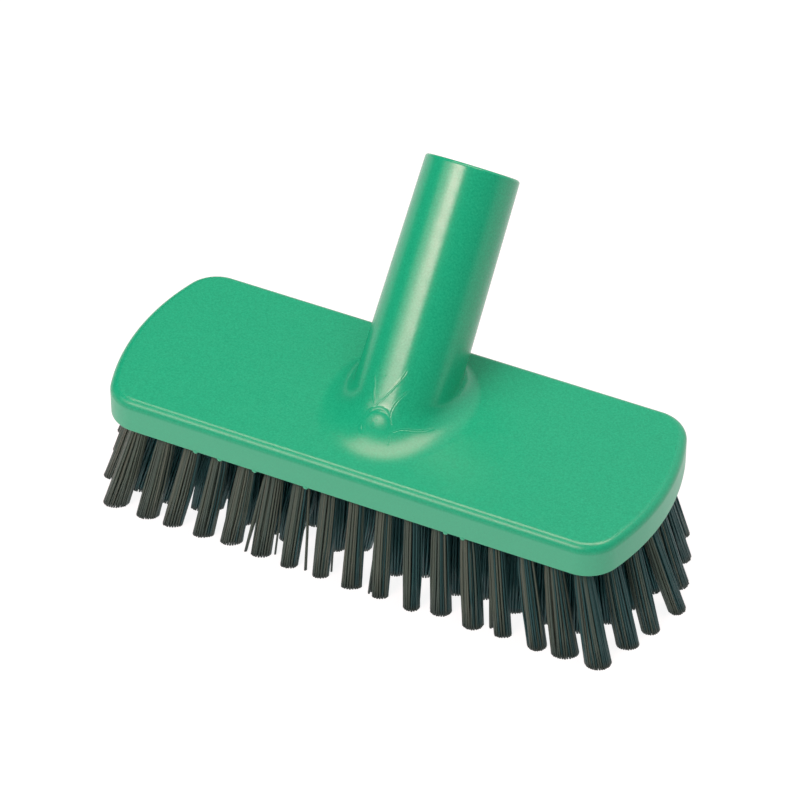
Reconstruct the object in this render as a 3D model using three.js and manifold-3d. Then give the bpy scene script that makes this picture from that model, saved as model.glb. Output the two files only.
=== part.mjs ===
// Deck brush head: a moulded block with a leaning handle socket, and rows of stapled bristle tufts.
// Millimetres, +Z up. The origin is on the floor under the middle of the block. The length runs along X,
// and the handle socket leans back towards +Y.

import * as THREE from 'three';
import { mergeGeometries, mergeVertices } from 'three/addons/utils/BufferGeometryUtils.js';
import loadManifold from 'manifold-3d';

// Block
const BLOCK_LENGTH = 228.6;
const BLOCK_WIDTH = 87.6;
const BLOCK_THICKNESS = 14.5;
const END_BULGE = 10; // rise of the curved ends over the full width
const CORNER_RADIUS = 15;
const TOP_EDGE_RADIUS = 3.6;
const BOTTOM_EDGE = 0.5;
const BACKING_THICKNESS = 2; // layer of the underside that the bristles are fused to

// Handle socket
const SOCKET_LEAN = THREE.MathUtils.degToRad(42);
const SOCKET_LENGTH = 94; // along its axis, from the top of the block to the mouth
const SOCKET_OFFSET = 5.75; // its axis meets the top of the block this far behind the middle
const SOCKET_BASE_RADIUS = 20.5;
const SOCKET_MOUTH_RADIUS = 19.25;
const MOUTH_EDGE_RADIUS = 1.25;
const BORE_RADIUS = 14.5; // takes a handle of 28.6 mm, which is 1 1/8 inch
const BORE_DEPTH = 76;
const BORE_CHAMFER = 0.8;
const FLARE_FRONT = 15.5; // how far the flared foot runs out from the tube, in front
const FLARE_SIDE = 10; // the same at the sides
const FLARE_BACK = 6; // the same behind
const FLARE_LIP = 0.4; // height of the foot at its outer edge

// Tuft holes, and the bristles that fan out of them
const ROWS = 7;
const TUFTS_PER_ROW = 17;
const HOLE_SIDE_MARGIN = 9.6; // from the long side of the block to the middle of the nearest holes
const HOLE_END_MARGIN = 9.1; // from the end of the block to the middle of the last hole of the middle row
const ROW_END_BOW = 1.2; // rows end sooner by this times the square of their place from the middle one
const TUFT_HOLE_DIAMETER = 6.2;
const TUFT_HOLE_DEPTH = 10.5; // from the underside
const BRISTLE_TRIM = 45.75; // from the underside to the tips
const FAN_ALONG = 1.135; // spread of the tips over the spread of the holes, along the block
const FAN_ACROSS = 1.214; // the same across the block
const TUFT_TIP_DIAMETER = 8.4;
const STRAND_GAP = 0.4; // between the middle strand of a tuft and those round it
const STRANDS_ROUND_MIDDLE = 3;
const EDGE_GROUP_ROWS = 2; // rows that the front bristles hold, and the rear ones too

// Staples, cut from flat wire and driven across the folded end of each tuft
const STAPLE_BITE = 0.4; // how far each end of a staple stands past its hole
const STAPLE_HEIGHT = 2.2;
const STAPLE_THICKNESS = 0.6;
const STAPLE_LINK = 0.8; // height of the uncut wire between two staples of a row
const CLEARANCE = 0.3;

// Facets
const END_STEPS = 8;
const CORNER_STEPS = 4;
const EDGE_STEPS = 3;
const SOCKET_SIDES = 40;
const FLARE_STEPS = 5;
const HOLE_SIDES = 6;
const STRAND_SIDES = 3;

// Places worked out from the sizes above
const ROW_PITCH = (BLOCK_WIDTH - 2 * HOLE_SIDE_MARGIN) / (ROWS - 1);
const MIDDLE_ROW_REACH = BLOCK_LENGTH / 2 - HOLE_END_MARGIN;
const UNDERSIDE = BRISTLE_TRIM;
const BACKING_TOP = UNDERSIDE + BACKING_THICKNESS;
const BLOCK_TOP = UNDERSIDE + BLOCK_THICKNESS;
const HOLE_TOP = UNDERSIDE + TUFT_HOLE_DEPTH;
const STAPLE_TOP = HOLE_TOP - CLEARANCE;
const STAPLE_BOTTOM = STAPLE_TOP - STAPLE_HEIGHT;
const STAPLE_HALF_WIDTH = TUFT_HOLE_DIAMETER / 2 + STAPLE_BITE;

const GREEN_PLASTIC = new THREE.MeshStandardMaterial({ color: 0x37b083, roughness: 0.42, metalness: 0 });
const DARK_BRISTLE = new THREE.MeshStandardMaterial({ color: 0x2b2f2c, roughness: 0.5, metalness: 0 });
const STAPLE_STEEL = new THREE.MeshStandardMaterial({ color: 0xb9bcc0, roughness: 0.35, metalness: 1 });

const wasm = await loadManifold();
wasm.setup();

// Closed solid for cutting and joining, made from a geometry's merged vertices.
function toSolid(geometry) {
  const bare = geometry.clone();
  bare.deleteAttribute('normal');
  bare.deleteAttribute('uv');
  const merged = mergeVertices(bare);
  const vertProperties = Float32Array.from(merged.attributes.position.array);
  const triVerts = Uint32Array.from(merged.index.array);
  return new wasm.Manifold(new wasm.Mesh({ numProp: 3, vertProperties, triVerts }));
}

function toGeometry(solid) {
  const { vertProperties, triVerts } = solid.getMesh();
  const geometry = new THREE.BufferGeometry();
  geometry.setAttribute('position', new THREE.BufferAttribute(vertProperties, 3));
  geometry.setIndex(new THREE.BufferAttribute(triVerts, 1));
  geometry.computeVertexNormals();
  return geometry;
}

// Closed skin over convex rings of equal point counts, each anticlockwise from above, capped at both ends.
function loft(rings) {
  const count = rings[0].length;
  const points = rings.flat();
  const faces = [];
  for (let ring = 0; ring < rings.length - 1; ring += 1) {
    for (let step = 0; step < count; step += 1) {
      const next = (step + 1) % count;
      const low = ring * count;
      const high = low + count;
      faces.push(low + step, low + next, high + next);
      faces.push(low + step, high + next, high + step);
    }
  }
  const last = (rings.length - 1) * count;
  for (let step = 1; step < count - 1; step += 1) {
    faces.push(0, step + 1, step);
    faces.push(last, last + step, last + step + 1);
  }
  const geometry = new THREE.BufferGeometry().setFromPoints(points);
  geometry.setIndex(faces);
  geometry.computeVertexNormals();
  return geometry;
}

// Level polygon with its corners on a circle, the first of them at an angle from +X.
function polygon(middle, radius, sides, turn) {
  return Array.from({ length: sides }, (_, side) => {
    const angle = turn + (2 * Math.PI * side) / sides;
    const out = new THREE.Vector3(radius * Math.cos(angle), radius * Math.sin(angle), 0);
    return out.add(middle);
  });
}

// Block outline at a height, drawn in by an inset: bowed ends, straight sides and rounded corners.
function blockRing(inset, z) {
  const halfWidth = BLOCK_WIDTH / 2;
  const endRadius = (END_BULGE ** 2 + halfWidth ** 2) / (2 * END_BULGE);
  const endX = BLOCK_LENGTH / 2 - endRadius;
  const cornerY = halfWidth - CORNER_RADIUS;
  const cornerX = endX + Math.sqrt((endRadius - CORNER_RADIUS) ** 2 - cornerY ** 2);
  const endAngle = Math.atan2(cornerY, cornerX - endX);
  const quarter = Math.PI / 2;
  const right = [
    ...arc(cornerX, -cornerY, CORNER_RADIUS - inset, -quarter, -endAngle, CORNER_STEPS),
    ...arc(endX, 0, endRadius - inset, -endAngle, endAngle, END_STEPS).slice(1, -1),
    ...arc(cornerX, cornerY, CORNER_RADIUS - inset, endAngle, quarter, CORNER_STEPS),
  ];
  const left = right.map((point) => new THREE.Vector2(-point.x, -point.y));
  return [...right, ...left].map((point) => new THREE.Vector3(point.x, point.y, z));
}

function arc(x, y, radius, from, to, steps) {
  return Array.from({ length: steps + 1 }, (_, step) => {
    const angle = from + ((to - from) * step) / steps;
    return new THREE.Vector2(x + radius * Math.cos(angle), y + radius * Math.sin(angle));
  });
}

// Middle of each tuft's hole in a row, along X, and of the row itself, along Y.
function rowReach(row) {
  return MIDDLE_ROW_REACH - ROW_END_BOW * (row - (ROWS - 1) / 2) ** 2;
}

function rowY(row) {
  return (row - (ROWS - 1) / 2) * ROW_PITCH;
}

function holeXs(row) {
  const reach = rowReach(row);
  const pitch = (2 * reach) / (TUFTS_PER_ROW - 1);
  return Array.from({ length: TUFTS_PER_ROW }, (_, tuft) => tuft * pitch - reach);
}

function range(first, last) {
  return Array.from({ length: last - first + 1 }, (_, index) => first + index);
}

const ALL_ROWS = range(0, ROWS - 1);

// Cavity above the backing for one row: six-sided blind tuft holes, joined by the slit that the row's
// staples are driven into. The outline runs back along one side of the row and forward along the other.
function rowCavity(row) {
  const radius = TUFT_HOLE_DIAMETER / 2;
  const halfSlit = STAPLE_THICKNESS / 2 + CLEARANCE;
  const corner = new THREE.Vector2(radius, 0).rotateAround(new THREE.Vector2(), (2 * Math.PI) / HOLE_SIDES);
  const mouth = radius - (halfSlit * (radius - corner.x)) / corner.y;
  const slitEnd = rowReach(row) + STAPLE_HALF_WIDTH + CLEARANCE;
  const side = holeXs(row).flatMap((x) => [
    new THREE.Vector2(x - mouth, halfSlit),
    new THREE.Vector2(x - corner.x, corner.y),
    new THREE.Vector2(x + corner.x, corner.y),
    new THREE.Vector2(x + mouth, halfSlit),
  ]);
  side.unshift(new THREE.Vector2(-slitEnd, halfSlit));
  side.push(new THREE.Vector2(slitEnd, halfSlit));
  const otherSide = side.map((point) => new THREE.Vector2(-point.x, -point.y));
  const bottom = BACKING_TOP - CLEARANCE;
  const outline = new THREE.Shape([...side, ...otherSide]);
  const cavity = new THREE.ExtrudeGeometry(outline, { depth: HOLE_TOP - bottom, bevelEnabled: false });
  return cavity.translate(0, rowY(row), bottom);
}

function brushBlock() {
  const rounded = range(0, EDGE_STEPS).map((step) => {
    const turn = (Math.PI / 2) * (step / EDGE_STEPS);
    const inset = TOP_EDGE_RADIUS * (1 - Math.cos(turn));
    return blockRing(inset, BLOCK_TOP - TOP_EDGE_RADIUS * (1 - Math.sin(turn)));
  });
  const slab = loft([blockRing(0, BACKING_TOP), ...rounded]);
  const cavities = toSolid(mergeGeometries(ALL_ROWS.map(rowCavity)));
  return toGeometry(toSolid(slab).subtract(cavities));
}

// Point at a height along the socket's axis, from the top of the block, and a radius from it.
// Angle 0 is towards +X, and a quarter turn is towards the back.
function socketPoint(along, radius, angle) {
  const across = radius * Math.sin(angle);
  return new THREE.Vector3(
    radius * Math.cos(angle),
    SOCKET_OFFSET + along * Math.sin(SOCKET_LEAN) + across * Math.cos(SOCKET_LEAN),
    BLOCK_TOP + along * Math.cos(SOCKET_LEAN) - across * Math.sin(SOCKET_LEAN),
  );
}

function tubePoint(along, angle) {
  const taper = (SOCKET_BASE_RADIUS - SOCKET_MOUTH_RADIUS) / SOCKET_LENGTH;
  return socketPoint(along, SOCKET_BASE_RADIUS - taper * along, angle);
}

// Where the tube's wall line at this angle meets the top of the block, as a distance along the axis.
function tubeFoot(angle) {
  const taper = (SOCKET_BASE_RADIUS - SOCKET_MOUTH_RADIUS) / SOCKET_LENGTH;
  const slope = Math.sin(angle) * Math.tan(SOCKET_LEAN);
  return (SOCKET_BASE_RADIUS * slope) / (1 + taper * slope);
}

// The flare's round from the block's top (share 0) to the tube's wall (share 1). It ends on the flat top.
function flarePoint(angle, share) {
  const foot = tubeFoot(angle);
  const corner = tubePoint(foot, angle);
  const outward = new THREE.Vector3(Math.cos(angle), Math.sin(angle) * Math.cos(SOCKET_LEAN), 0).normalize();
  const flatHalfWidth = BLOCK_WIDTH / 2 - TOP_EDGE_RADIUS;
  const backwards = Math.sin(angle);
  const endReach = backwards < 0 ? FLARE_FRONT : FLARE_BACK;
  const wanted = FLARE_SIDE + (endReach - FLARE_SIDE) * backwards ** 2;
  const edge = Math.sign(outward.y) * flatHalfWidth;
  const room = outward.y === 0 ? wanted : (edge - corner.y) / outward.y;
  const reach = Math.min(wanted, room);
  const onTop = corner.clone().addScaledVector(outward, reach);
  const onTube = tubePoint(foot + reach, angle);
  const upTube = onTube.clone().sub(corner).normalize();
  const weight = Math.sin(Math.acos(upTube.dot(outward)) / 2);
  const parts = [(1 - share) ** 2, 2 * share * (1 - share) * weight, share ** 2];
  const point = new THREE.Vector3();
  [onTop, corner, onTube].forEach((place, index) => point.addScaledVector(place, parts[index]));
  point.divideScalar(parts[0] + parts[1] + parts[2]);
  point.z += FLARE_LIP * (1 - share) ** 2;
  return point;
}

function handleSocket() {
  const angles = range(0, SOCKET_SIDES - 1).map((side) => (2 * Math.PI * side) / SOCKET_SIDES);
  const ring = (place) => angles.map(place);
  const circle = (along, radius) => ring((angle) => socketPoint(along, radius, angle));
  const sole = ring((angle) => flarePoint(angle, 0).setZ(BLOCK_TOP));
  const flare = range(0, FLARE_STEPS).map((step) => ring((angle) => flarePoint(angle, step / FLARE_STEPS)));
  const lip = range(0, EDGE_STEPS).map((step) => {
    const turn = (Math.PI / 2) * (step / EDGE_STEPS);
    const along = SOCKET_LENGTH - MOUTH_EDGE_RADIUS * (1 - Math.sin(turn));
    return circle(along, SOCKET_MOUTH_RADIUS - MOUTH_EDGE_RADIUS * (1 - Math.cos(turn)));
  });
  return loft([
    sole,
    ...flare,
    ...lip,
    circle(SOCKET_LENGTH, BORE_RADIUS + BORE_CHAMFER),
    circle(SOCKET_LENGTH - BORE_CHAMFER, BORE_RADIUS),
    circle(SOCKET_LENGTH - BORE_DEPTH, BORE_RADIUS),
  ]);
}

// Radius of a three-sided strand, so that the strands of a tuft fill its diameter with a gap between them.
function strandRadius(tuftDiameter) {
  return (tuftDiameter / 2 - STRAND_GAP) / 2;
}

// One strand: a three-sided prism from its root in the backing to its tip, cut flat at the floor.
function strand(root, tip, turn) {
  return loft([
    polygon(tip, strandRadius(TUFT_TIP_DIAMETER), STRAND_SIDES, turn),
    polygon(root, strandRadius(TUFT_HOLE_DIAMETER), STRAND_SIDES, turn),
  ]);
}

// The folded end of a tuft, standing up into its hole as far as its staple. Its corners face the hole's.
function foldedEnd(x, y) {
  const radius = TUFT_HOLE_DIAMETER / 2 - CLEARANCE / Math.cos(Math.PI / HOLE_SIDES);
  const levels = [BACKING_TOP - BACKING_THICKNESS / 4, STAPLE_BOTTOM];
  return loft(levels.map((z) => polygon(new THREE.Vector3(x, y, z), radius, STRAND_SIDES, 0)));
}

// The strands of a tuft: one in the middle, with the others standing round it and flaring to the tip.
function tuft(x, y) {
  const root = new THREE.Vector3(x, y, UNDERSIDE + BACKING_THICKNESS / 2);
  const tip = new THREE.Vector3(x * FAN_ALONG, y * FAN_ACROSS, 0);
  const rootRadius = strandRadius(TUFT_HOLE_DIAMETER) + STRAND_GAP;
  const tipRadius = strandRadius(TUFT_TIP_DIAMETER) + STRAND_GAP;
  const strands = [strand(root, tip, Math.PI)];
  for (let index = 0; index < STRANDS_ROUND_MIDDLE; index += 1) {
    const angle = (2 * Math.PI * index) / STRANDS_ROUND_MIDDLE;
    const out = new THREE.Vector3(Math.cos(angle), Math.sin(angle), 0);
    const strandRoot = root.clone().addScaledVector(out, rootRadius);
    strands.push(strand(strandRoot, tip.clone().addScaledVector(out, tipRadius), angle));
  }
  return strands;
}

// Rows of tufts on their slice of the backing, with each tuft's folded end standing up into its hole.
function bristles(rows) {
  const outline = [blockRing(BOTTOM_EDGE, UNDERSIDE), blockRing(0, UNDERSIDE + BOTTOM_EDGE)];
  const backing = toSolid(loft([...outline, blockRing(0, BACKING_TOP)]));
  const front = rows[0] === 0 ? -BLOCK_WIDTH : rowY(rows[0]) - ROW_PITCH / 2;
  const rear = rows.at(-1) === ROWS - 1 ? BLOCK_WIDTH : rowY(rows.at(-1)) + ROW_PITCH / 2;
  const band = new THREE.BoxGeometry(2 * BLOCK_LENGTH, rear - front, 2 * BLOCK_THICKNESS);
  const slice = backing.intersect(toSolid(band.translate(0, (front + rear) / 2, UNDERSIDE)));
  const places = rows.flatMap((row) => holeXs(row).map((x) => [x, rowY(row)]));
  const strands = places.flatMap(([x, y]) => tuft(x, y));
  const folds = places.map(([x, y]) => foldedEnd(x, y));
  return toGeometry(slice.add(toSolid(mergeGeometries(strands))).add(toSolid(mergeGeometries(folds))));
}

// The staples of one row, still joined by their wire.
function stapleRow(row) {
  const half = STAPLE_HALF_WIDTH;
  const linkBottom = STAPLE_TOP - STAPLE_LINK;
  const xs = holeXs(row);
  const shape = new THREE.Shape();
  shape.moveTo(xs[0] - half, STAPLE_TOP);
  xs.forEach((x, index) => {
    if (index > 0) shape.lineTo(x - half, linkBottom);
    shape.lineTo(x - half, STAPLE_BOTTOM);
    shape.lineTo(x + half, STAPLE_BOTTOM);
    if (index < xs.length - 1) shape.lineTo(x + half, linkBottom);
  });
  shape.lineTo(xs.at(-1) + half, STAPLE_TOP);
  shape.closePath();
  const geometry = new THREE.ExtrudeGeometry(shape, { depth: STAPLE_THICKNESS, bevelEnabled: false });
  geometry.rotateX(Math.PI / 2);
  geometry.translate(0, rowY(row) + STAPLE_THICKNESS / 2, 0);
  return geometry;
}

function node(name, geometry, material) {
  const mesh = new THREE.Mesh(geometry, material);
  mesh.name = name;
  return mesh;
}

const brush = new THREE.Group();
brush.name = 'deck_brush';
brush.add(node('brush_block', brushBlock(), GREEN_PLASTIC));
brush.add(node('handle_socket', handleSocket(), GREEN_PLASTIC));

const lastRow = ROWS - 1;
brush.add(node('front_bristles', bristles(range(0, EDGE_GROUP_ROWS - 1)), DARK_BRISTLE));
brush.add(node('middle_bristles', bristles(range(EDGE_GROUP_ROWS, lastRow - EDGE_GROUP_ROWS)), DARK_BRISTLE));
brush.add(node('rear_bristles', bristles(range(lastRow - EDGE_GROUP_ROWS + 1, lastRow)), DARK_BRISTLE));

ALL_ROWS.forEach((row) => brush.add(node(`staple_row_${row + 1}`, stapleRow(row), STAPLE_STEEL)));

export default brush;
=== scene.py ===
"""Deck brush head in Blender: the moulded block with its handle socket, and tufts of single filaments.

Lengths are metres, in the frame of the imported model: X along the block, Y towards the back, Z up.
"""

import math
import random

import bmesh
import bpy
from mathutils import Matrix, Vector
from mathutils.bvhtree import BVHTree
from mathutils.geometry import delaunay_2d_cdt


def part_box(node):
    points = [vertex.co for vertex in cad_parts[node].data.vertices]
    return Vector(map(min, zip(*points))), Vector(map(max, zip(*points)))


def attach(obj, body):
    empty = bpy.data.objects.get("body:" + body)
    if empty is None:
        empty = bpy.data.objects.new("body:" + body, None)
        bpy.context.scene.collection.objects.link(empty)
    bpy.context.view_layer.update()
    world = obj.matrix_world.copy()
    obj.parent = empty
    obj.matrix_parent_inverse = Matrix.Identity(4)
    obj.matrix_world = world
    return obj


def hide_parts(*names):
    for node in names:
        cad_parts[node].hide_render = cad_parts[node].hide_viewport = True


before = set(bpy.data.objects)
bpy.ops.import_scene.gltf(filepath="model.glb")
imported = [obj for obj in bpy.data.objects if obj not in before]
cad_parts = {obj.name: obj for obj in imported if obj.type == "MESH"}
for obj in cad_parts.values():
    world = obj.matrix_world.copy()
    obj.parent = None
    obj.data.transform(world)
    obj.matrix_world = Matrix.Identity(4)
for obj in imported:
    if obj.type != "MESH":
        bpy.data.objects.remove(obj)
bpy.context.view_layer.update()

# Block, placed by the frame
BLOCK_LOW, BLOCK_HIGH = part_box("brush_block")
BLOCK_LENGTH = BLOCK_HIGH.x - BLOCK_LOW.x
BLOCK_WIDTH = BLOCK_HIGH.y - BLOCK_LOW.y
BLOCK_TOP = BLOCK_HIGH.z
BACKING_THICKNESS = 0.002
UNDERSIDE = BLOCK_LOW.z - BACKING_THICKNESS
END_BULGE = 0.010
CORNER_RADIUS = 0.015
TOP_EDGE_RADIUS = 0.0036
BOTTOM_EDGE_RADIUS = 0.0005

# Handle socket
SOCKET_LEAN = math.radians(42)
SOCKET_LENGTH = 0.094
SOCKET_OFFSET = 0.00575
SOCKET_BASE_RADIUS = 0.0205
SOCKET_MOUTH_RADIUS = 0.01925
MOUTH_EDGE_RADIUS = 0.00125
BORE_RADIUS = 0.0145
BORE_DEPTH = 0.076
BORE_CHAMFER = 0.0008
FLARE_FRONT = 0.0155
FLARE_SIDE = 0.010
FLARE_BACK = 0.006

# Tufts and their holes
ROWS = 7
TUFTS_PER_ROW = 17
HOLE_SIDE_MARGIN = 0.0096
HOLE_END_MARGIN = 0.0091
ROW_END_BOW = 0.0012
HOLE_RADIUS = 0.0031
HOLE_DEPTH = 0.0105
HOLE_CHAMFER = 0.0003
FAN_ALONG = 1.135
FAN_ACROSS = 1.214
ROW_GROUPS = {"front": (0, 1), "middle": (2, 3, 4), "rear": (5, 6)}

# Filaments: a tip whose half width and half depth add up to the usual size has the full number
FILAMENT_RINGS = 4
FILAMENTS_PER_RING = 6
FILAMENT_RADIUS = 0.00044
USUAL_TIP_SIZE = 0.0063
FILAMENT_SUNK = 0.004
TUFT_ROOT_RADIUS = 0.0026
OUTER_BULGE = 0.0003
INNER_BULGE = 0.0022
FAN_BOW = 0.04
TIP_HALF_WIDTH = (0.0036, 0.0044)
TIP_ROUNDNESS = (0.7, 0.95)
TUFT_TIP_WANDER = 0.0008
FILAMENT_TIP_WANDER = 0.00006
FILAMENT_BOW = 0.0003
TRIM_UNEVENNESS = 0.00005
STRAY_SPREAD = 0.0003

# How light a filament is, from 0 to 1: inside the brush, where a bright slate colour is painted shade, and
# the dark and the light ones on its outside
INNER_PAINTED_SHADES = (0, 0.3)
DARK_SHADES = (0.36, 0.44)
LIGHT_SHADES = (0.5, 1)

# Share of dark filaments, and how painted shade raises it towards the right end and the right side of a tuft
DARK_SHARE = 0.31
PAINTED_SHADE_TO_RIGHT = 0.27
PAINTED_SHADE_ACROSS = 0.40

# Tips seen in the photograph, (row, tuft): pixel of the middle, width, and depth below the middle
TIPS_PX = {
    (0, 0): (116.5, 501.5, 25, 6), (0, 1): (148, 514, 22, 5), (0, 2): (173, 523.5, 19, 3.5),
    (0, 3): (203.5, 534, 20, 3.3), (0, 4): (231.5, 540.5, 21, 4.5), (0, 5): (261, 554, 18, 3),
    (0, 6): (289, 564.5, 16, 3.5), (0, 7): (320.5, 575, 15, 3), (0, 8): (351.5, 586, 19, 3),
    (0, 9): (380, 595.5, 15, 3), (0, 10): (411.5, 607, 15, 4), (0, 11): (441, 610.5, 20, 5.5),
    (0, 12): (473, 624, 19.5, 5.5), (0, 13): (503, 634.5, 15.5, 3), (0, 14): (537, 644.5, 18, 6),
    (0, 15): (565, 652.5, 26, 6), (0, 16): (598, 662.5, 25, 7),
    (1, 0): (115, 475, 21, 4.5), (1, 1): (144, 487.5, 26, 4.5), (1, 2): (173, 499.5, 26, 4.5),
    (1, 3): (207.5, 507, 32, 4.5), (1, 4): (241, 521, 30, 4.5), (1, 5): (268, 531, 24, 4.5),
    (1, 6): (290, 538, 20, 4.5), (1, 7): (336, 547, 18, 4.5), (1, 8): (361, 547, 20, 4.5),
    (1, 9): (396, 571.5, 20, 4.5), (1, 10): (425, 573, 20, 4.5), (1, 11): (457, 591, 20, 4.5),
    (1, 12): (484, 595, 20, 4.5), (1, 13): (514, 609, 20, 4.5), (1, 14): (545, 619.5, 20, 4.5),
    (1, 15): (577, 628.5, 20, 4.5), (1, 16): (627.7, 644.5, 21, 5),
    (2, 0): (123.5, 449, 20, 4), (2, 1): (143, 462, 22, 5), (2, 2): (172, 473, 22, 5),
    (2, 3): (204, 484, 22, 5), (2, 4): (233, 494, 22, 5), (2, 15): (607, 619, 24, 5),
    (2, 16): (650.5, 629.5, 17, 5),
    (3, 0): (128, 430, 20, 5), (3, 15): (629, 605, 28, 5), (3, 16): (676.5, 608, 17, 6.5),
    (4, 15): (651, 588, 20, 6), (4, 16): (678.5, 582.5, 19, 7),
    (5, 16): (681.5, 556.5, 18, 7),
    (6, 16): (680, 533.5, 18, 5),
}
TIP_WIDTH_PX_PER_METRE = 2550
TIP_DEPTH_PX_PER_METRE = 1700

# Filaments that stray from their tuft in the photograph: row, tuft, pixel of the tip and how many
STRAYS_PX = (
    (0, 5, (246, 550), 8),
    (0, 5, (275.7, 555), 1),
    (0, 6, (305.7, 570), 2),
    (0, 7, (331, 571), 2),
    (0, 9, (367.4, 593), 2),
    (0, 9, (371.5, 591), 5),
    (0, 13, (491.5, 627), 14),
)

# Witness lines of the mould: pixels of the photograph that a line goes through, and its boldness
GROOVES_PX = (
    (((373.5, 409), (375, 407.3), (380, 402), (390, 391.5), (400, 381), (404, 376), (407, 371.5),
      (408.5, 368)), 0.85),
    (((392, 430), (391.3, 426), (390.6, 420), (390.3, 415), (392, 410), (395, 405), (399, 400),
      (404, 396), (410, 390.5), (413, 387)), 0.9),
    (((375.5, 367), (374.5, 370), (373.5, 375), (374.5, 383), (373.5, 392), (374, 400), (375, 407)), 0.75),
    (((363.5, 433), (361.8, 428.5), (362.7, 423), (366.3, 417), (371, 412), (377, 409.5), (383, 411),
      (387, 415), (391, 424)), 1.5),
    (((376, 385), (378, 380.5), (382, 377), (387, 375.6), (392, 376.5)), 0.55),
    (((391.5, 431), (393, 431.8), (395, 432), (399, 430.5), (407, 430.3), (414, 431), (421, 431.2),
      (428, 430.2), (436, 428)), 0.7),
    (((389.6, 435), (389.3, 438), (388.9, 441), (388.2, 444), (387.5, 447)), 0.75),
    (((456, 396.5), (457.5, 394.5), (459, 391.5), (461, 389), (462.5, 387)), 0.9),
)

# Section of a witness line: pixels to its side, and rise above the surface
GROOVE_PROFILE = (
    (-3.0, -0.00004), (-0.8, 0.00013), (0, 0.00001), (0.8, 0.00013), (3.0, -0.00004),
    (3.0, -0.0003), (-3.0, -0.0003),
)

# Boss: middle and half size in pixels, rise, extra rise at its top and right, and section as shares
BOSS_PX = (377.8, 422)
BOSS_HALF_PX = (13.5, 12)
BOSS_RISE = 0.0003
BOSS_TILT = 0.0004
BOSS_LEAN = 0.0002
BOSS_PROFILE = ((1, -0.2), (1, -0.02), (0.94, 0.3), (0.84, 0.6), (0.68, 0.82), (0.45, 0.94), (0.15, 1))

# Crumbs of flash on the lower front edge
NIBS_PX = ((195, 449), (219, 456), (254, 468), (305, 484), (445, 528), (462, 536))
NIB_HALF = Vector((0.0011, 0.0006, 0.0009))

# Sides and steps of the meshes
CORNER_STEPS = 14
END_STEPS = 28
SIDE_STEPS = 30
EDGE_STEPS = 12
SOCKET_SIDES = 160
FLARE_STEPS = 20
TUBE_STEPS = 16
HOLE_SIDES = 18
GROOVE_STEPS = 6
BOSS_SIDES = 40
NIB_SIDES = 10
NIB_STEPS = 6
OUTER_SIDES = 7
INNER_SIDES = 5
FILAMENT_STEPS = 3
WELD_DISTANCE = 1e-6
PATCH_TOLERANCE = 1e-7
SMOOTH_LIMIT = math.radians(38)

# Green plastic
GREEN_DARK = (0.001, 0.332, 0.166, 1)
GREEN_LIGHT = (0.010, 0.462, 0.238, 1)
# Paler green of the sides: a painted reflection of the white floor
GREEN_PAINTED_REFLECTION = (0.078, 0.497, 0.301, 1)
MOTTLE_NOISE = {"scale": 1300, "detail": 3, "roughness": 0.8}
POLISH_NOISE = {"scale": 220, "detail": 3}
POLISH_ROUGHNESS = (0.23, 0.27)
GRAIN_NOISE = {"scale": 2600, "detail": 2}
GRAIN_BUMP = {"Strength": 0.14, "Distance": 0.00004}
RIPPLE_NOISE = {"scale": 140, "detail": 1}
RIPPLE_BUMP = {"Strength": 0.05, "Distance": 0.0002}
PLASTIC_IOR = 1.49

# The block's rounded edge and sides are duller, and its sides paler with a painted reflection of the white
# floor, from this far below its top
EDGE_START = 0.0006
EDGE_END = 0.0001
EDGE_ROUGHNESS = 0.12
WALL_START = 0.0040
WALL_END = 0.0031
WALL_REFLECTION_SHARE = 0.5

# Bristle: a colour for each shade of filament, and the colour of the cut, which fades out above the floor
BRISTLE_COLOURS = (
    # Inside the brush: bright slate colours, painted shade between the tufts
    (INNER_PAINTED_SHADES[0], (0.029, 0.173, 0.188, 1)),
    (INNER_PAINTED_SHADES[1], (0.033, 0.135, 0.145, 1)),
    (DARK_SHADES[0], (0.012, 0.064, 0.070, 1)),
    (DARK_SHADES[1], (0.020, 0.071, 0.073, 1)),
    (LIGHT_SHADES[0], (0.060, 0.096, 0.079, 1)),
    (0.85, (0.083, 0.118, 0.089, 1)),
    (LIGHT_SHADES[1], (0.108, 0.138, 0.106, 1)),
)
CUT_COLOUR = (0.052, 0.064, 0.054, 1)
CUT_END = 0.0005
CUT_FADE = 0.003
STREAK_NOISE = {"scale": 900, "detail": 2}
STREAK_SHARE = 0.35
BRISTLE_ROUGHNESS = (0.34, 0.5)
BRISTLE_IOR = 1.53
BRISTLE_SPECULAR = 0.35
BRISTLE_SPECULAR_TINT = (0.55, 1.0, 0.92, 1)

# Staple wire
STEEL_COLOUR = (0.48, 0.49, 0.51, 1)
WIRE_NOISE = {"scale": 1800, "detail": 3}
STEEL_ROUGHNESS = (0.25, 0.45)

# A noise texture lies mostly in this range
NOISE_RANGE = (0.3, 0.7)

# Camera, fitted to the photograph
IMAGE_SIZE = 800
CAMERA_AZIMUTH = math.radians(25.76)
CAMERA_ELEVATION = math.radians(40.95)
CAMERA_DISTANCE = 1.8317
CAMERA_FOCAL_PX = 4700.9
BLOCK_MIDDLE_PX = (396.7, 406.0)
SENSOR_WIDTH = 36.0
CLIP_START = 0.05
CLIP_END = 50

# World: where it is seen, white near the horizon and on a backdrop behind, and dark above
HORIZON_WHITE = 0.0
HORIZON_END = 0.05
BACKDROP_TOWARDS = Vector((0.35, 0.85, 0.40)).normalized()
BACKDROP_EDGE = 0.55
BACKDROP_WHITE = 0.95
CEILING_LEVEL = 0.10
AMBIENT_LEVEL = 0.312
AMBIENT_FROM_RIGHT = 0.21

# Floor: a pale colour and, where it is seen, a darker one that glows white
FLOOR_HALF = 1.7
FLOOR_COLOUR = (0.78, 0.78, 0.78, 1)
SEEN_FLOOR_COLOUR = (0.2, 0.2, 0.2, 1)
SEEN_FLOOR_GLOW = 0.9

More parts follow.
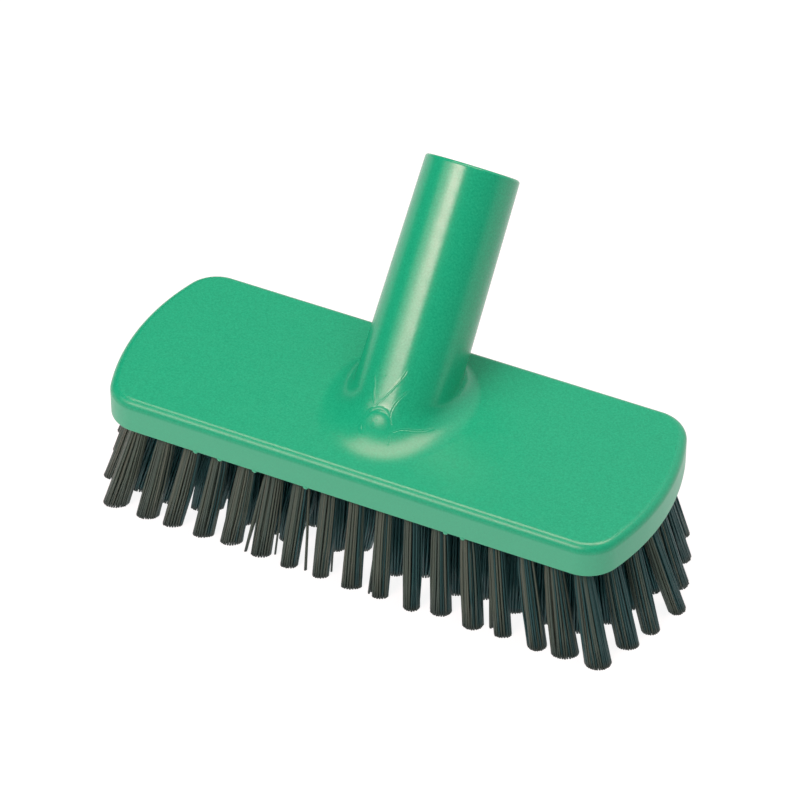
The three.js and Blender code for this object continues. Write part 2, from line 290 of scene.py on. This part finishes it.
# Soft boxes: direction from the brush, width, height, power and colour
LAMP_DISTANCE = 1.7
LAMPS = {
    "key_box": ((-0.175, -0.669, 0.734), 0.66, 0.24, 13.7, (1, 0.62, 0.61)),
    "near_box": ((-0.42, -0.59, 0.67), 0.42, 0.28, 3.9, (1, 0.62, 0.60)),
    "left_box": ((-0.56, -0.62, 0.60), 1.10, 0.30, 4.4, (1, 0.70, 0.66)),
    "top_box": ((-0.03, 0.27, 0.96), 1.6, 0.68, 26.5, (1, 0.58, 0.55)),
}


class Skin:
    """Points and faces of one mesh, gathered ring by ring."""

    def __init__(self):
        self.points = []
        self.faces = []

    def ring(self, points):
        first = len(self.points)
        self.points.extend(points)
        return list(range(first, len(self.points)))

    def bridge(self, low, high):
        count = len(low)
        for step in range(count):
            following = (step + 1) % count
            self.faces.append((low[step], low[following], high[following], high[step]))

    def sleeve(self, rings):
        """A wall through rings of as many points each, open at both ends."""
        made = [self.ring(points) for points in rings]
        for low, high in zip(made, made[1:]):
            self.bridge(low, high)
        return made

    def cap(self, ring):
        self.faces.append(tuple(ring))

    def closed_sleeve(self, rings):
        made = self.sleeve(rings)
        self.cap(made[0][::-1])
        self.cap(made[-1])

    def level_patch(self, outer, holes, z):
        """Flat face at a height, between a convex outline and the holes in it."""
        corners = []
        edges = []
        for loop in [outer, *holes]:
            first = len(corners)
            corners.extend(Vector((point[0], point[1])) for point in loop)
            edges.extend((first + step, first + (step + 1) % len(loop)) for step in range(len(loop)))
        flat, _, triangles, *_ = delaunay_2d_cdt(corners, edges, [], 0, PATCH_TOLERANCE)
        first = len(self.points)
        self.points.extend((point.x, point.y, z) for point in flat)
        for triangle in triangles:
            middle = sum((flat[corner] for corner in triangle), Vector((0, 0))) / len(triangle)
            if not any(inside(middle, hole) for hole in holes):
                self.faces.append(tuple(first + corner for corner in triangle))

    def build(self, name):
        mesh = bpy.data.meshes.new(name)
        mesh.from_pydata([tuple(point) for point in self.points], [], self.faces)
        piece = bpy.data.objects.new(name, mesh)
        bpy.context.scene.collection.objects.link(piece)
        return piece


def inside(point, loop):
    """True if a point is inside a closed loop of points, seen from above."""
    crossings = 0
    for start, end in zip(loop, [*loop[1:], loop[0]]):
        if (start[1] > point[1]) != (end[1] > point[1]):
            along = (point[1] - start[1]) / (end[1] - start[1])
            if point[0] < start[0] + along * (end[0] - start[0]):
                crossings += 1
    return crossings % 2 == 1


def weld_and_smooth(piece):
    """Joins the seams between rings and patches, turns faces outwards and keeps only real edges sharp."""
    shape = bmesh.new()
    shape.from_mesh(piece.data)
    bmesh.ops.remove_doubles(shape, verts=shape.verts, dist=WELD_DISTANCE)
    bmesh.ops.recalc_face_normals(shape, faces=shape.faces)
    for face in shape.faces:
        face.smooth = True
    for edge in shape.edges:
        edge.smooth = len(edge.link_faces) == 2 and edge.calc_face_angle() < SMOOTH_LIMIT
    shape.to_mesh(piece.data)
    shape.free()
    even = piece.modifiers.new("even_normals", "WEIGHTED_NORMAL")
    even.keep_sharp = True


def arc(x, y, radius, start, end, steps):
    angles = [start + (end - start) * step / steps for step in range(steps + 1)]
    return [(x + radius * math.cos(angle), y + radius * math.sin(angle)) for angle in angles]


def full_circle(sides):
    """The angles of the corners of a round section."""
    return [2 * math.pi * side / sides for side in range(sides)]


def level(outline, z):
    return [(x, y, z) for x, y in outline]


def block_outline(inset):
    """The block's outline, drawn in by an inset: bowed ends, straight sides and rounded corners."""
    half_width = BLOCK_WIDTH / 2
    end_radius = (END_BULGE ** 2 + half_width ** 2) / (2 * END_BULGE)
    end_x = BLOCK_LENGTH / 2 - end_radius
    corner_y = half_width - CORNER_RADIUS
    corner_x = end_x + math.sqrt((end_radius - CORNER_RADIUS) ** 2 - corner_y ** 2)
    end_angle = math.atan2(corner_y, corner_x - end_x)
    quarter = math.pi / 2
    right = [
        *arc(corner_x, -corner_y, CORNER_RADIUS - inset, -quarter, -end_angle, CORNER_STEPS),
        *arc(end_x, 0, end_radius - inset, -end_angle, end_angle, END_STEPS)[1:-1],
        *arc(corner_x, corner_y, CORNER_RADIUS - inset, end_angle, quarter, CORNER_STEPS),
    ]
    side_y = right[-1][1]
    side = [(corner_x - 2 * corner_x * step / SIDE_STEPS, side_y) for step in range(1, SIDE_STEPS)]
    half = [*right, *side]
    return [*half, *[(-x, -y) for x, y in half]]


def edge_turns():
    """The angles over which an edge is rounded, a quarter turn."""
    return [math.pi / 2 * step / EDGE_STEPS for step in range(EDGE_STEPS + 1)]


def slab_walls():
    """The slab's outlines from its underside to its top, with both edges rounded."""
    walls = []
    for turn in edge_turns():
        inset = BOTTOM_EDGE_RADIUS * (1 - math.sin(turn))
        walls.append(level(block_outline(inset), UNDERSIDE + BOTTOM_EDGE_RADIUS * (1 - math.cos(turn))))
    for turn in edge_turns():
        inset = TOP_EDGE_RADIUS * (1 - math.cos(turn))
        walls.append(level(block_outline(inset), BLOCK_TOP - TOP_EDGE_RADIUS * (1 - math.sin(turn))))
    return walls


def socket_point(along, radius, angle):
    """A point at a distance along the socket's axis, a radius from it. A quarter turn faces the back."""
    across = radius * math.sin(angle)
    return Vector((
        radius * math.cos(angle),
        SOCKET_OFFSET + along * math.sin(SOCKET_LEAN) + across * math.cos(SOCKET_LEAN),
        BLOCK_TOP + along * math.cos(SOCKET_LEAN) - across * math.sin(SOCKET_LEAN),
    ))


def tube_taper():
    return (SOCKET_BASE_RADIUS - SOCKET_MOUTH_RADIUS) / SOCKET_LENGTH


def tube_point(along, angle):
    return socket_point(along, SOCKET_BASE_RADIUS - tube_taper() * along, angle)


def flare_ends(angle):
    """Where the flare leaves the block's top, the corner it rounds off, and where it meets the tube."""
    slope = math.sin(angle) * math.tan(SOCKET_LEAN)
    foot = SOCKET_BASE_RADIUS * slope / (1 + tube_taper() * slope)
    corner = tube_point(foot, angle)
    outward = Vector((math.cos(angle), math.sin(angle) * math.cos(SOCKET_LEAN), 0)).normalized()
    backwards = math.sin(angle)
    end_reach = FLARE_FRONT if backwards < 0 else FLARE_BACK
    reach = FLARE_SIDE + (end_reach - FLARE_SIDE) * backwards ** 2
    return corner + outward * reach, corner, foot + reach


def flare_point(angle, share):
    """The flare's round, from the block's top at share 0 to the tube's wall at share 1."""
    on_top, corner, along = flare_ends(angle)
    on_tube = tube_point(along, angle)
    between = (on_tube - corner).angle(on_top - corner)
    weights = ((1 - share) ** 2, 2 * share * (1 - share) * math.sin(between / 2), share ** 2)
    total = on_top * weights[0] + corner * weights[1] + on_tube * weights[2]
    return total / sum(weights)


def socket_rings():
    """Rings up the flare and the tube, over the rounded mouth and down the bore."""
    angles = full_circle(SOCKET_SIDES)
    rings = [[flare_point(angle, step / FLARE_STEPS) for angle in angles] for step in range(FLARE_STEPS + 1)]
    starts = [flare_ends(angle)[2] for angle in angles]
    tube_end = SOCKET_LENGTH - MOUTH_EDGE_RADIUS
    for step in range(1, TUBE_STEPS):
        share = step / TUBE_STEPS
        rings.append([tube_point(start + (tube_end - start) * share, angle)
                      for start, angle in zip(starts, angles)])
    for turn in edge_turns():
        along = SOCKET_LENGTH - MOUTH_EDGE_RADIUS * (1 - math.sin(turn))
        radius = SOCKET_MOUTH_RADIUS - MOUTH_EDGE_RADIUS * (1 - math.cos(turn))
        rings.append([socket_point(along, radius, angle) for angle in angles])
    for along, radius in (
        (SOCKET_LENGTH, BORE_RADIUS + BORE_CHAMFER),
        (SOCKET_LENGTH - BORE_CHAMFER, BORE_RADIUS),
        (SOCKET_LENGTH - BORE_DEPTH, BORE_RADIUS),
    ):
        rings.append([socket_point(along, radius, angle) for angle in angles])
    return rings


def row_y(row):
    pitch = (BLOCK_WIDTH - 2 * HOLE_SIDE_MARGIN) / (ROWS - 1)
    return (row - (ROWS - 1) / 2) * pitch


def hole_xs(row):
    reach = BLOCK_LENGTH / 2 - HOLE_END_MARGIN - ROW_END_BOW * (row - (ROWS - 1) / 2) ** 2
    return [reach * (2 * tuft / (TUFTS_PER_ROW - 1) - 1) for tuft in range(TUFTS_PER_ROW)]


def hole_circles(x, y):
    """Circles from the chamfered mouth of a blind tuft hole to its end."""
    return [
        level(arc(x, y, radius, 0, 2 * math.pi, HOLE_SIDES)[:-1], z)
        for radius, z in (
            (HOLE_RADIUS + HOLE_CHAMFER, UNDERSIDE),
            (HOLE_RADIUS, UNDERSIDE + HOLE_CHAMFER),
            (HOLE_RADIUS, UNDERSIDE + HOLE_DEPTH),
        )
    ]


def make_block():
    """One moulding: the slab, its blind tuft holes, and the socket that grows out of its top."""
    skin = Skin()
    walls = slab_walls()
    skin.sleeve(walls)
    socket = socket_rings()
    skin.cap(skin.sleeve(socket)[-1])
    skin.level_patch(walls[-1], [socket[0]], BLOCK_TOP)
    mouths = []
    for row in range(ROWS):
        for x in hole_xs(row):
            circles = hole_circles(x, row_y(row))
            mouths.append(circles[0])
            skin.cap(skin.sleeve(circles)[-1])
    skin.level_patch(walls[0], mouths, UNDERSIDE)
    piece = skin.build("block_moulding")
    weld_and_smooth(piece)
    return piece


def camera_axes():
    """The photograph's directions right, up and back towards the camera."""
    back = Vector((
        math.sin(CAMERA_AZIMUTH) * math.cos(CAMERA_ELEVATION),
        -math.cos(CAMERA_AZIMUTH) * math.cos(CAMERA_ELEVATION),
        math.sin(CAMERA_ELEVATION),
    ))
    right = Vector((math.cos(CAMERA_AZIMUTH), math.sin(CAMERA_AZIMUTH), 0))
    return right, back.cross(right), back


def camera_place():
    return Vector((0, 0, BLOCK_TOP)) + camera_axes()[2] * CAMERA_DISTANCE


def pixel_ray(pixel):
    """The direction from the camera through a pixel of the photograph."""
    right, up, back = camera_axes()
    across = (pixel[0] - BLOCK_MIDDLE_PX[0]) / CAMERA_FOCAL_PX
    down = (pixel[1] - BLOCK_MIDDLE_PX[1]) / CAMERA_FOCAL_PX
    return right * across - up * down - back


def floor_point(pixel):
    """Where a pixel of the photograph meets the floor."""
    start = camera_place()
    ray = pixel_ray(pixel)
    return start - ray * (start.z / ray.z)


def raised_point(surface, pixel, rise):
    """Where a pixel of the photograph meets a surface, lifted off it or sunk below it."""
    place, normal, *_ = surface.ray_cast(camera_place(), pixel_ray(pixel))
    return place + normal * rise


def smooth_path(corners, steps):
    """A rounded line through the corners."""
    ends = [corners[0], *corners, corners[-1]]
    path = []
    for before, start, end, after in zip(ends, ends[1:], ends[2:], ends[3:]):
        for step in range(steps):
            share = step / steps
            path.append(tuple(
                0.5 * (2 * b + (c - a) * share + (2 * a - 5 * b + 4 * c - d) * share ** 2
                       + (3 * b - a - 3 * c + d) * share ** 3)
                for a, b, c, d in zip(before, start, end, after)
            ))
    return [*path, corners[-1]]


def add_groove(skin, surface, corners, scale):
    """A fine witness line: two low lips with a valley between, which follow the surface they lie on."""
    path = smooth_path(corners, GROOVE_STEPS)
    rings = []
    for index, (x, y) in enumerate(path):
        before = path[max(index - 1, 0)]
        after = path[min(index + 1, len(path) - 1)]
        length = math.dist(before, after)
        side = ((before[1] - after[1]) / length, (after[0] - before[0]) / length)
        fade = min(1, index / GROOVE_STEPS, (len(path) - 1 - index) / GROOVE_STEPS)
        rings.append([
            raised_point(surface, (x + side[0] * offset * scale, y + side[1] * offset * scale),
                         rise * scale * fade if rise > 0 else rise)
            for offset, rise in GROOVE_PROFILE
        ])
    skin.closed_sleeve(rings)


def add_boss(skin, surface):
    """A round pad where the mould was filled, which stands out at its top and sinks into the foot below."""
    rings = []
    for out, share in BOSS_PROFILE:
        ring = []
        for angle in full_circle(BOSS_SIDES):
            across = out * math.cos(angle)
            down = out * math.sin(angle)
            pixel = (BOSS_PX[0] + BOSS_HALF_PX[0] * across, BOSS_PX[1] + BOSS_HALF_PX[1] * down)
            height = BOSS_RISE - BOSS_TILT * down + BOSS_LEAN * across
            ring.append(raised_point(surface, pixel, share * (height if share > 0 else BOSS_RISE)))
        rings.append(ring)
    skin.closed_sleeve(rings)


def add_nib(skin, surface, pixel):
    """A crumb of moulding flash on the block's lower front edge."""
    wall = raised_point(surface, pixel, 0)
    middle = Vector((wall.x, -BLOCK_WIDTH / 2 + NIB_HALF.y / 2, UNDERSIDE))
    rings = []
    for step in range(1, NIB_STEPS):
        rise = math.pi * step / NIB_STEPS
        rings.append([
            middle + Vector((
                NIB_HALF.x * math.sin(rise) * math.cos(angle),
                NIB_HALF.y * math.sin(rise) * math.sin(angle),
                -NIB_HALF.z * math.cos(rise),
            ))
            for angle in full_circle(NIB_SIDES)
        ])
    skin.closed_sleeve(rings)


def make_marks(block):
    """Marks left by the mould: a boss and fine lines on the socket's foot, and flash on the lower edge."""
    surface = BVHTree.FromObject(block, bpy.context.evaluated_depsgraph_get())
    skin = Skin()
    add_boss(skin, surface)
    for corners, scale in GROOVES_PX:
        add_groove(skin, surface, corners, scale)
    for pixel in NIBS_PX:
        add_nib(skin, surface, pixel)
    piece = skin.build("mould_marks")
    weld_and_smooth(piece)
    return piece


def wander(rng, distance):
    """A random step across the floor."""
    return Vector((rng.gauss(0, distance), rng.gauss(0, distance), 0))


class Tuft:
    """One tuft: its root in the block's underside, and the middle and size of its cut on the floor.

    A strand of it is a start, an end, a swell in between and the share of dark strands in its place, raised
    by painted shade to the right.
    """

    def __init__(self, row, column, rng):
        self.place = (row, column)
        self.outermost = row in (0, ROWS - 1) or column in (0, TUFTS_PER_ROW - 1)
        self.root = Vector((hole_xs(row)[column], row_y(row), UNDERSIDE))
        self.tip = Vector((
            self.root.x * FAN_ALONG + rng.gauss(0, TUFT_TIP_WANDER),
            self.root.y * FAN_ACROSS + rng.gauss(0, TUFT_TIP_WANDER),
            0,
        ))
        self.half_width = rng.uniform(*TIP_HALF_WIDTH)
        self.half_depth = self.half_width * rng.uniform(*TIP_ROUNDNESS)
        if self.place in TIPS_PX:
            x, y, width, depth = TIPS_PX[self.place]
            self.tip = floor_point((x, y))
            self.half_width = width / 2 / TIP_WIDTH_PX_PER_METRE
            self.half_depth = depth / TIP_DEPTH_PX_PER_METRE

    def packed_strands(self, rng):
        """Strands in rings, packed in the hole, which swell below it and fan out to the cut."""
        right = camera_axes()[0]
        back = Vector((-right.y, right.x, 0))
        bulge = OUTER_BULGE if self.outermost else INNER_BULGE
        lean = Vector((self.tip.x - self.root.x, self.tip.y - self.root.y, 0)) * FAN_BOW
        along = self.root.x / (BLOCK_LENGTH / 2)
        # Painted shade: more dark strands towards the right end of the brush
        dark_and_shaded_here = DARK_SHARE + PAINTED_SHADE_TO_RIGHT * along
        tip_size = self.half_width + self.half_depth
        strands = []
        for ring in range(1, FILAMENT_RINGS + 1):
            out = ring / FILAMENT_RINGS
            count = round(FILAMENTS_PER_RING * ring * tip_size / USUAL_TIP_SIZE)
            spin = rng.uniform(0, 2 * math.pi)
            for index in range(count):
                angle = spin + 2 * math.pi * index / count
                across = right * math.cos(angle) * out
                deep = back * math.sin(angle) * out
                end = self.tip + across * self.half_width + deep * self.half_depth
                end += wander(rng, FILAMENT_TIP_WANDER)
                start = self.root + (across + deep) * TUFT_ROOT_RADIUS
                # Painted shade: more dark strands on the right side of the tuft
                dark_and_shaded_share = dark_and_shaded_here + PAINTED_SHADE_ACROSS * math.cos(angle) * out
                strands.append((start, end, (across + deep) * bulge - lean, dark_and_shaded_share))
        return strands

    def stray_strands(self, rng):
        """Strands that leave the tuft, as the photograph shows them."""
        strands = []
        for row, column, pixel, count in STRAYS_PX:
            if (row, column) == self.place:
                middle = floor_point(pixel)
                towards = (middle - self.tip).normalized() * TUFT_ROOT_RADIUS
                for _ in range(count):
                    shift = wander(rng, STRAY_SPREAD)
                    strands.append((self.root + towards + shift / 2, middle + shift, Vector(), 0))
        return strands


def strand_shade(outermost, dark_and_shaded_share, rng):
    """A random shade for a strand inside the brush, a painted shade of slate, or for a dark or a light one
    on its outside.
    """
    pick = rng.random()
    # Strands inside the brush take a painted shade
    if not outermost:
        return rng.uniform(*INNER_PAINTED_SHADES)
    if pick < dark_and_shaded_share:
        return rng.uniform(*DARK_SHADES)
    return rng.uniform(*LIGHT_SHADES)


def add_filament(skin, start, end, bow, turn, sides):
    """A closed round strand from inside the hole to its tip, bowed a little in between."""
    sunk = start + (start - end).normalized() * FILAMENT_SUNK
    circle = [
        Vector((FILAMENT_RADIUS * math.cos(turn + angle), FILAMENT_RADIUS * math.sin(turn + angle), 0))
        for angle in full_circle(sides)
    ]
    rings = []
    for step in range(FILAMENT_STEPS + 1):
        share = step / FILAMENT_STEPS
        middle = end.lerp(sunk, share) + bow * math.sin(math.pi * share)
        rings.append([middle + corner for corner in circle])
    skin.closed_sleeve(rings)


def add_tuft(skin, shades, tuft, rng):
    """A tuft's filaments, each with a trim, a bow and a shade of its own."""
    sides = OUTER_SIDES if tuft.outermost else INNER_SIDES
    for start, end, swell, dark_and_shaded_share in [*tuft.packed_strands(rng), *tuft.stray_strands(rng)]:
        end.z += abs(rng.gauss(0, TRIM_UNEVENNESS))
        bow = swell + wander(rng, FILAMENT_BOW)
        first = len(skin.points)
        add_filament(skin, start, end, bow, rng.uniform(0, 2 * math.pi), sides)
        shade = strand_shade(tuft.outermost, dark_and_shaded_share, rng)
        shades.extend([shade] * (len(skin.points) - first))


def make_bristles(group, rows):
    """The tufts of some rows, in one mesh that holds the shade of each filament."""
    skin = Skin()
    shades = []
    rng = random.Random(f"bristles {group}")
    for row in rows:
        for column in range(TUFTS_PER_ROW):
            add_tuft(skin, shades, Tuft(row, column, rng), rng)
    piece = skin.build(f"{group}_tufts")
    mesh = piece.data
    mesh.shade_smooth()
    shade = mesh.attributes.new("shade", "FLOAT", "POINT")
    shade.data.foreach_set("value", shades)
    return piece


def new_material(name):
    material = bpy.data.materials.new(name)
    material.use_nodes = True
    tree = material.node_tree
    return material, tree.nodes, tree.links, tree.nodes["Principled BSDF"]


def node(nodes, kind, **settings):
    """A shader node, with its inputs and properties set by name."""
    made = nodes.new(kind)
    for key, value in settings.items():
        if key in made.inputs:
            made.inputs[key].default_value = value
        else:
            setattr(made, key, value)
    return made


def noise(nodes, links, position, scale, detail, roughness=0.5):
    made = node(nodes, "ShaderNodeTexNoise", Scale=scale, Detail=detail, Roughness=roughness)
    links.new(position.outputs["Object"], made.inputs["Vector"])
    return made.outputs["Fac"]


def map_range(nodes, links, source, before, after, **settings):
    """Maps a value from the range before to the range after, and holds it at their ends."""
    made = node(nodes, "ShaderNodeMapRange", **settings)
    for key, value in zip(("From Min", "From Max", "To Min", "To Max"), (*before, *after)):
        made.inputs[key].default_value = value
    links.new(source, made.inputs["Value"])
    return made.outputs["Result"]


def height_above_floor(nodes, links, position):
    place = nodes.new("ShaderNodeSeparateXYZ")
    links.new(position.outputs["Object"], place.inputs[0])
    return place.outputs["Z"]


def plastic_material():
    """Green moulded polypropylene: half gloss, a fine grain, a duller edge, and paler sides that are a
    painted reflection of the white floor.
    """
    material, nodes, links, shader = new_material("green_plastic")
    position = nodes.new("ShaderNodeTexCoord")
    height = height_above_floor(nodes, links, position)

    mottle = noise(nodes, links, position, **MOTTLE_NOISE)
    colour = node(nodes, "ShaderNodeMix", data_type="RGBA", A=GREEN_DARK, B=GREEN_LIGHT)
    links.new(map_range(nodes, links, mottle, NOISE_RANGE, (0, 1)), colour.inputs["Factor"])
    walls = (BLOCK_TOP - WALL_START, BLOCK_TOP - WALL_END)
    # Paler sides, a painted reflection of the white floor
    painted_reflection = node(nodes, "ShaderNodeMix", data_type="RGBA", B=GREEN_PAINTED_REFLECTION)
    links.new(map_range(nodes, links, height, walls, (WALL_REFLECTION_SHARE, 0)), painted_reflection.inputs["Factor"])
    links.new(colour.outputs["Result"], painted_reflection.inputs["A"])
    links.new(painted_reflection.outputs["Result"], shader.inputs["Base Color"])

    polish = noise(nodes, links, position, **POLISH_NOISE)
    edge = (BLOCK_TOP - EDGE_START, BLOCK_TOP - EDGE_END)
    rough = node(nodes, "ShaderNodeMath", operation="ADD")
    links.new(map_range(nodes, links, polish, NOISE_RANGE, POLISH_ROUGHNESS), rough.inputs[0])
    links.new(map_range(nodes, links, height, edge, (EDGE_ROUGHNESS, 0)), rough.inputs[1])
    links.new(rough.outputs[0], shader.inputs["Roughness"])

    ripple = node(nodes, "ShaderNodeBump", **RIPPLE_BUMP)
    grain = node(nodes, "ShaderNodeBump", **GRAIN_BUMP)
    links.new(noise(nodes, links, position, **RIPPLE_NOISE), ripple.inputs["Height"])
    links.new(noise(nodes, links, position, **GRAIN_NOISE), grain.inputs["Height"])
    links.new(ripple.outputs["Normal"], grain.inputs["Normal"])
    links.new(grain.outputs["Normal"], shader.inputs["Normal"])
    shader.inputs["IOR"].default_value = PLASTIC_IOR
    return material


def bristle_material():
    """Stiff filament: slate strands inside as painted shade, dark ones among olive ones outside, more of
    them to the right as painted shade, and all dull where cut.
    """
    material, nodes, links, shader = new_material("bristle")
    position = nodes.new("ShaderNodeTexCoord")
    height = height_above_floor(nodes, links, position)

    shade = node(nodes, "ShaderNodeAttribute", attribute_name="shade")
    ramp = nodes.new("ShaderNodeValToRGB")
    stops = ramp.color_ramp.elements
    stops[0].color = BRISTLE_COLOURS[0][1]
    stops[1].color = BRISTLE_COLOURS[-1][1]
    for place, colour in BRISTLE_COLOURS[1:-1]:
        stops.new(place).color = colour
    links.new(shade.outputs["Fac"], ramp.inputs["Fac"])

    worn = node(nodes, "ShaderNodeMix", data_type="RGBA", A=CUT_COLOUR)
    links.new(map_range(nodes, links, height, (CUT_END, CUT_FADE), (0, 1)), worn.inputs["Factor"])
    links.new(ramp.outputs["Color"], worn.inputs["B"])
    streak = noise(nodes, links, position, **STREAK_NOISE)
    dusted = node(nodes, "ShaderNodeMix", data_type="RGBA", blend_type="MULTIPLY", Factor=STREAK_SHARE)
    links.new(worn.outputs["Result"], dusted.inputs["A"])
    links.new(streak, dusted.inputs["B"])
    links.new(dusted.outputs["Result"], shader.inputs["Base Color"])

    links.new(map_range(nodes, links, streak, NOISE_RANGE, BRISTLE_ROUGHNESS), shader.inputs["Roughness"])
    shader.inputs["IOR"].default_value = BRISTLE_IOR
    shader.inputs["Specular IOR Level"].default_value = BRISTLE_SPECULAR
    shader.inputs["Specular Tint"].default_value = BRISTLE_SPECULAR_TINT
    return material


def steel_material():
    """Drawn flat wire, with fine marks across its polish."""
    material, nodes, links, shader = new_material("staple_steel")
    position = nodes.new("ShaderNodeTexCoord")
    marks = noise(nodes, links, position, **WIRE_NOISE)
    links.new(map_range(nodes, links, marks, NOISE_RANGE, STEEL_ROUGHNESS), shader.inputs["Roughness"])
    shader.inputs["Metallic"].default_value = 1
    shader.inputs["Base Color"].default_value = STEEL_COLOUR
    return material


def seen_directly(nodes, links):
    """1 for a ray from the camera, or one that a surface reflects or lets through, and 0 for others."""
    path = nodes.new("ShaderNodeLightPath")
    first = node(nodes, "ShaderNodeMath", operation="MAXIMUM")
    second = node(nodes, "ShaderNodeMath", operation="MAXIMUM")
    links.new(path.outputs["Is Camera Ray"], first.inputs[0])
    links.new(path.outputs["Is Glossy Ray"], first.inputs[1])
    links.new(first.outputs[0], second.inputs[0])
    links.new(path.outputs["Is Transmission Ray"], second.inputs[1])
    return second.outputs[0]


def floor_material():
    """Pale, and evenly white where it is seen, apart from a soft shadow."""
    material = bpy.data.materials.new("white_floor")
    material.use_nodes = True
    nodes = material.node_tree.nodes
    links = material.node_tree.links
    nodes.clear()
    output = nodes.new("ShaderNodeOutputMaterial")
    plain = node(nodes, "ShaderNodeBsdfDiffuse", Color=FLOOR_COLOUR)
    shadowed = node(nodes, "ShaderNodeBsdfDiffuse", Color=SEEN_FLOOR_COLOUR)
    glow = node(nodes, "ShaderNodeEmission", Strength=SEEN_FLOOR_GLOW)
    white = nodes.new("ShaderNodeAddShader")
    links.new(shadowed.outputs[0], white.inputs[0])
    links.new(glow.outputs[0], white.inputs[1])
    choose = nodes.new("ShaderNodeMixShader")
    links.new(seen_directly(nodes, links), choose.inputs["Fac"])
    links.new(plain.outputs[0], choose.inputs[1])
    links.new(white.outputs[0], choose.inputs[2])
    links.new(choose.outputs[0], output.inputs["Surface"])
    return material


def make_floor():
    """A square floor under the tips of the bristles."""
    corners = ((-1, -1), (1, -1), (1, 1), (-1, 1))
    skin = Skin()
    skin.cap(skin.ring([(x * FLOOR_HALF, y * FLOOR_HALF, 0) for x, y in corners]))
    floor = skin.build("floor")
    floor.data.materials.append(floor_material())


def make_world():
    """Seen directly, white low down and on a backdrop behind, and dark above. Otherwise a gentle light."""
    world = bpy.data.worlds.new("studio")
    bpy.context.scene.world = world
    world.use_nodes = True
    nodes = world.node_tree.nodes
    links = world.node_tree.links
    background = nodes["Background"]
    background.inputs["Color"].default_value = (1, 1, 1, 1)
    direction = nodes.new("ShaderNodeTexCoord")
    parts = nodes.new("ShaderNodeSeparateXYZ")
    links.new(direction.outputs["Generated"], parts.inputs[0])
    towards = node(nodes, "ShaderNodeVectorMath", operation="DOT_PRODUCT")
    links.new(direction.outputs["Generated"], towards.inputs[0])
    towards.inputs[1].default_value = BACKDROP_TOWARDS

    seen = node(nodes, "ShaderNodeMath", operation="MAXIMUM")
    for socket, source, fade in (
        (0, parts.outputs["Z"], (HORIZON_END, HORIZON_WHITE)),
        (1, towards.outputs["Value"], (BACKDROP_EDGE, BACKDROP_WHITE)),
    ):
        glow = map_range(nodes, links, source, fade, (CEILING_LEVEL, 1), interpolation_type="SMOOTHSTEP")
        links.new(glow, seen.inputs[socket])
    ambient = node(nodes, "ShaderNodeMath", operation="MULTIPLY_ADD")
    links.new(parts.outputs["X"], ambient.inputs[0])
    ambient.inputs[1].default_value = AMBIENT_FROM_RIGHT
    ambient.inputs[2].default_value = AMBIENT_LEVEL
    strength = nodes.new("ShaderNodeMix")
    links.new(seen_directly(nodes, links), strength.inputs["Factor"])
    links.new(ambient.outputs[0], strength.inputs["A"])
    links.new(seen.outputs[0], strength.inputs["B"])
    links.new(strength.outputs["Result"], background.inputs["Strength"])


def soft_lamp(name, towards, width, height, power, colour):
    """A soft box in a direction from the brush, facing it."""
    target = Vector((0, 0, BLOCK_TOP))
    lamp = bpy.data.lights.new(name, "AREA")
    lamp.shape = "RECTANGLE"
    lamp.size = width
    lamp.size_y = height
    lamp.energy = power
    lamp.color = colour
    holder = bpy.data.objects.new(name, lamp)
    holder.location = target + Vector(towards).normalized() * LAMP_DISTANCE
    holder.rotation_euler = (target - holder.location).to_track_quat("-Z", "Y").to_euler()
    bpy.context.scene.collection.objects.link(holder)


def make_camera():
    """The photograph's view, worked out for its own square frame."""
    data = bpy.data.cameras.new("photo_camera")
    data.sensor_fit = "HORIZONTAL"
    data.sensor_width = SENSOR_WIDTH
    data.lens = CAMERA_FOCAL_PX / IMAGE_SIZE * SENSOR_WIDTH
    data.shift_x = -(BLOCK_MIDDLE_PX[0] - IMAGE_SIZE / 2) / IMAGE_SIZE
    data.shift_y = (BLOCK_MIDDLE_PX[1] - IMAGE_SIZE / 2) / IMAGE_SIZE
    data.clip_start = CLIP_START
    data.clip_end = CLIP_END
    camera = bpy.data.objects.new("photo_camera", data)
    turn = Matrix(camera_axes()).transposed().to_4x4()
    camera.matrix_world = Matrix.Translation(camera_place()) @ turn
    bpy.context.scene.collection.objects.link(camera)
    bpy.context.scene.camera = camera


bpy.context.scene.view_settings.view_transform = "Standard"
make_camera()
make_world()
make_floor()
for lamp_name, lamp_facts in LAMPS.items():
    soft_lamp(lamp_name, *lamp_facts)

plastic = plastic_material()
block = make_block()
block.data.materials.append(plastic)
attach(block, "root")
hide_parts("brush_block", "handle_socket")

marks = make_marks(block)
marks.data.materials.append(plastic)
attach(marks, "root")

bristle = bristle_material()
for group, rows in ROW_GROUPS.items():
    tufts = make_bristles(group, rows)
    tufts.data.materials.append(bristle)
    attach(tufts, "root")
    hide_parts(f"{group}_bristles")

steel = steel_material()
for row in range(ROWS):
    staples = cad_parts[f"staple_row_{row + 1}"]
    staples.data.materials.clear()
    staples.data.materials.append(steel)
